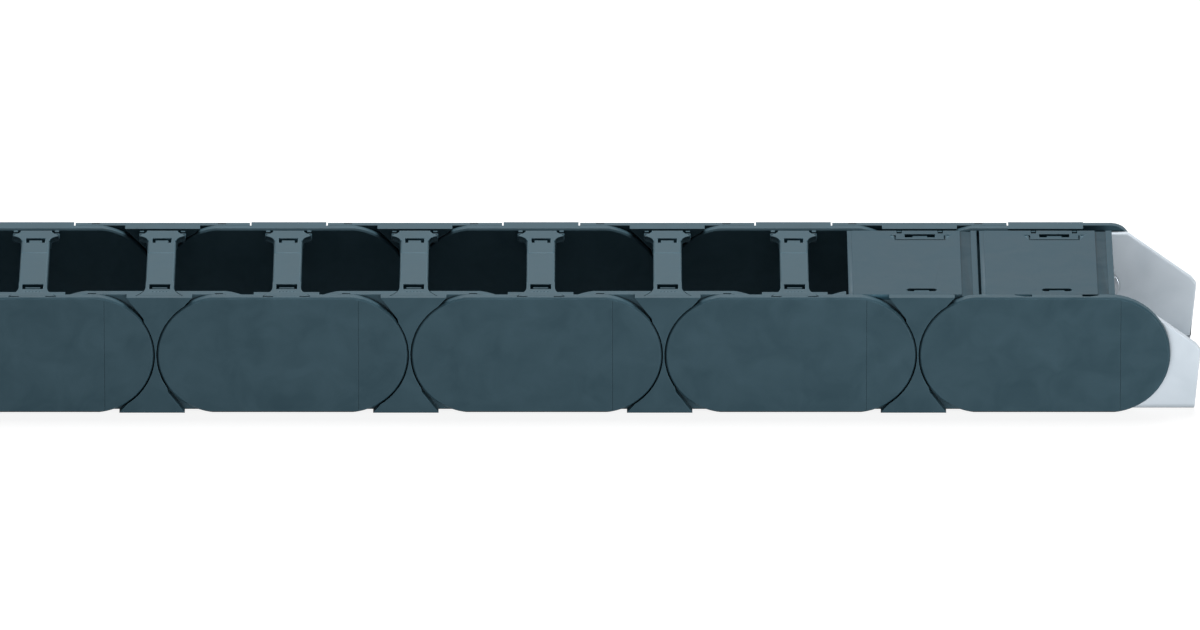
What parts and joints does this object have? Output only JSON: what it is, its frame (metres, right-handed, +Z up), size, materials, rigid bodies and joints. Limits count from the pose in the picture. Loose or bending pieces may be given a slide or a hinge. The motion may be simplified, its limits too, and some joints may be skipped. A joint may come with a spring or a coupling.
{
  "type": "cable drag chain",
  "caption": "Straight run of a pivoting cable drag chain: round-ended side plates, hinged crossbars and lids on top, and angled end brackets with bolt holes.",
  "frame": {"origin": "midway along the chain, midway between its side bands, on the level of its underside", "axes": "+X along the chain towards the end with the lids, +Y across it towards the crossbars' hinges, +Z up, away from the side it bends to"},
  "size_m": [0.8346, 0.112, 0.065],
  "materials": {
    "plate_plastic": "fine moulded grain, dark blue-grey",
    "crossbar_plastic": "satin moulded, mid grey",
    "lid_plastic": "satin moulded, blue-grey",
    "bracket_metal": "satin, light grey",
    "stud_steel": "turned"
  },
  "bodies": {
    "right_bracket": {"right_bracket_front": "bracket_metal", "right_bracket_front_stud": "stud_steel", "right_bracket_back": "bracket_metal", "right_bracket_back_stud": "stud_steel"},
    "link11": {"link11_front_plate": "plate_plastic", "link11_back_plate": "plate_plastic", "link11_bottom_crossbar": "crossbar_plastic"},
    "link11_lid": {"link11_lid": "lid_plastic"},
    "link10": {"link10_front_plate": "plate_plastic", "link10_back_plate": "plate_plastic", "link10_bottom_crossbar": "crossbar_plastic"},
    "link10_lid": {"link10_lid": "lid_plastic"},
    "link09": {"link09_front_plate": "plate_plastic", "link09_back_plate": "plate_plastic", "link09_bottom_crossbar": "crossbar_plastic"},
    "link09_top_crossbar": {"link09_top_crossbar": "crossbar_plastic"},
    "link08": {"link08_front_plate": "plate_plastic", "link08_back_plate": "plate_plastic", "link08_bottom_crossbar": "crossbar_plastic"},
    "link08_top_crossbar": {"link08_top_crossbar": "crossbar_plastic"},
    "link07": {"link07_front_plate": "plate_plastic", "link07_back_plate": "plate_plastic", "link07_bottom_crossbar": "crossbar_plastic"},
    "link07_top_crossbar": {"link07_top_crossbar": "crossbar_plastic"},
    "link06": {"link06_front_plate": "plate_plastic", "link06_back_plate": "plate_plastic", "link06_bottom_crossbar": "crossbar_plastic"},
    "link06_top_crossbar": {"link06_top_crossbar": "crossbar_plastic"},
    "link05": {"link05_front_plate": "plate_plastic", "link05_back_plate": "plate_plastic", "link05_bottom_crossbar": "crossbar_plastic"},
    "link05_top_crossbar": {"link05_top_crossbar": "crossbar_plastic"},
    "link04": {"link04_front_plate": "plate_plastic", "link04_back_plate": "plate_plastic", "link04_bottom_crossbar": "crossbar_plastic"},
    "link04_top_crossbar": {"link04_top_crossbar": "crossbar_plastic"},
    "link03": {"link03_front_plate": "plate_plastic", "link03_back_plate": "plate_plastic", "link03_bottom_crossbar": "crossbar_plastic"},
    "link03_top_crossbar": {"link03_top_crossbar": "crossbar_plastic"},
    "link02": {"link02_front_plate": "plate_plastic", "link02_back_plate": "plate_plastic", "link02_bottom_crossbar": "crossbar_plastic"},
    "link02_top_crossbar": {"link02_top_crossbar": "crossbar_plastic"},
    "link01": {"link01_front_plate": "plate_plastic", "link01_back_plate": "plate_plastic", "link01_bottom_crossbar": "crossbar_plastic"},
    "link01_top_crossbar": {"link01_top_crossbar": "crossbar_plastic"},
    "left_bracket": {"left_bracket_front": "bracket_metal", "left_bracket_front_stud": "stud_steel", "left_bracket_back": "bracket_metal", "left_bracket_back_stud": "stud_steel"}
  },
  "joints": [
    {"name": "pivot_link11", "type": "hinge", "parent": "right_bracket", "child": "link11", "pos_m": [0.3685, 0, 0.0325], "axis": [0, -1, 0], "range_deg": [0, 19.3]},
    {"name": "pivot_link10", "type": "hinge", "parent": "link11", "child": "link10", "pos_m": [0.3015, 0, 0.0325], "axis": [0, -1, 0], "range_deg": [0, 19.3]},
    {"name": "pivot_link09", "type": "hinge", "parent": "link10", "child": "link09", "pos_m": [0.2345, 0, 0.0325], "axis": [0, -1, 0], "range_deg": [0, 19.3]},
    {"name": "pivot_link08", "type": "hinge", "parent": "link09", "child": "link08", "pos_m": [0.1675, 0, 0.0325], "axis": [0, -1, 0], "range_deg": [0, 19.3]},
    {"name": "pivot_link07", "type": "hinge", "parent": "link08", "child": "link07", "pos_m": [0.1005, 0, 0.0325], "axis": [0, -1, 0], "range_deg": [0, 19.3]},
    {"name": "pivot_link06", "type": "hinge", "parent": "link07", "child": "link06", "pos_m": [0.0335, 0, 0.0325], "axis": [0, -1, 0], "range_deg": [0, 19.3]},
    {"name": "pivot_link05", "type": "hinge", "parent": "link06", "child": "link05", "pos_m": [-0.0335, 0, 0.0325], "axis": [0, -1, 0], "range_deg": [0, 19.3]},
    {"name": "pivot_link04", "type": "hinge", "parent": "link05", "child": "link04", "pos_m": [-0.1005, 0, 0.0325], "axis": [0, -1, 0], "range_deg": [0, 19.3]},
    {"name": "pivot_link03", "type": "hinge", "parent": "link04", "child": "link03", "pos_m": [-0.1675, 0, 0.0325], "axis": [0, -1, 0], "range_deg": [0, 19.3]},
    {"name": "pivot_link02", "type": "hinge", "parent": "link03", "child": "link02", "pos_m": [-0.2345, 0, 0.0325], "axis": [0, -1, 0], "range_deg": [0, 19.3]},
    {"name": "pivot_link01", "type": "hinge", "parent": "link02", "child": "link01", "pos_m": [-0.3015, 0, 0.0325], "axis": [0, -1, 0], "range_deg": [0, 19.3]},
    {"name": "pivot_left_bracket", "type": "hinge", "parent": "link01", "child": "left_bracket", "pos_m": [-0.3685, 0, 0.0325], "axis": [0, -1, 0], "range_deg": [0, 19.3]},
    {"name": "crossbar_link01", "type": "hinge", "parent": "link01", "child": "link01_top_crossbar", "pos_m": [-0.3329, 0.0427, 0.062], "axis": [-1, 0, 0], "range_deg": [0, 90]},
    {"name": "crossbar_link02", "type": "hinge", "parent": "link02", "child": "link02_top_crossbar", "pos_m": [-0.2659, 0.0427, 0.062], "axis": [-1, 0, 0], "range_deg": [0, 90]},
    {"name": "crossbar_link03", "type": "hinge", "parent": "link03", "child": "link03_top_crossbar", "pos_m": [-0.1989, 0.0427, 0.062], "axis": [-1, 0, 0], "range_deg": [0, 90]},
    {"name": "crossbar_link04", "type": "hinge", "parent": "link04", "child": "link04_top_crossbar", "pos_m": [-0.1319, 0.0427, 0.062], "axis": [-1, 0, 0], "range_deg": [0, 90]},
    {"name": "crossbar_link05", "type": "hinge", "parent": "link05", "child": "link05_top_crossbar", "pos_m": [-0.0649, 0.0427, 0.062], "axis": [-1, 0, 0], "range_deg": [0, 90]},
    {"name": "crossbar_link06", "type": "hinge", "parent": "link06", "child": "link06_top_crossbar", "pos_m": [0.0021, 0.0427, 0.062], "axis": [-1, 0, 0], "range_deg": [0, 90]},
    {"name": "crossbar_link07", "type": "hinge", "parent": "link07", "child": "link07_top_crossbar", "pos_m": [0.0691, 0.0427, 0.062], "axis": [-1, 0, 0], "range_deg": [0, 90]},
    {"name": "crossbar_link08", "type": "hinge", "parent": "link08", "child": "link08_top_crossbar", "pos_m": [0.1361, 0.0427, 0.062], "axis": [-1, 0, 0], "range_deg": [0, 90]},
    {"name": "crossbar_link09", "type": "hinge", "parent": "link09", "child": "link09_top_crossbar", "pos_m": [0.2031, 0.0427, 0.062], "axis": [-1, 0, 0], "range_deg": [0, 90]},
    {"name": "lid_link10", "type": "hinge", "parent": "link10", "child": "link10_lid", "pos_m": [0.2701, 0.0427, 0.062], "axis": [-1, 0, 0], "range_deg": [0, 90]},
    {"name": "lid_link11", "type": "hinge", "parent": "link11", "child": "link11_lid", "pos_m": [0.3414, 0.0427, 0.062], "axis": [-1, 0, 0], "range_deg": [0, 90]}
  ]
}
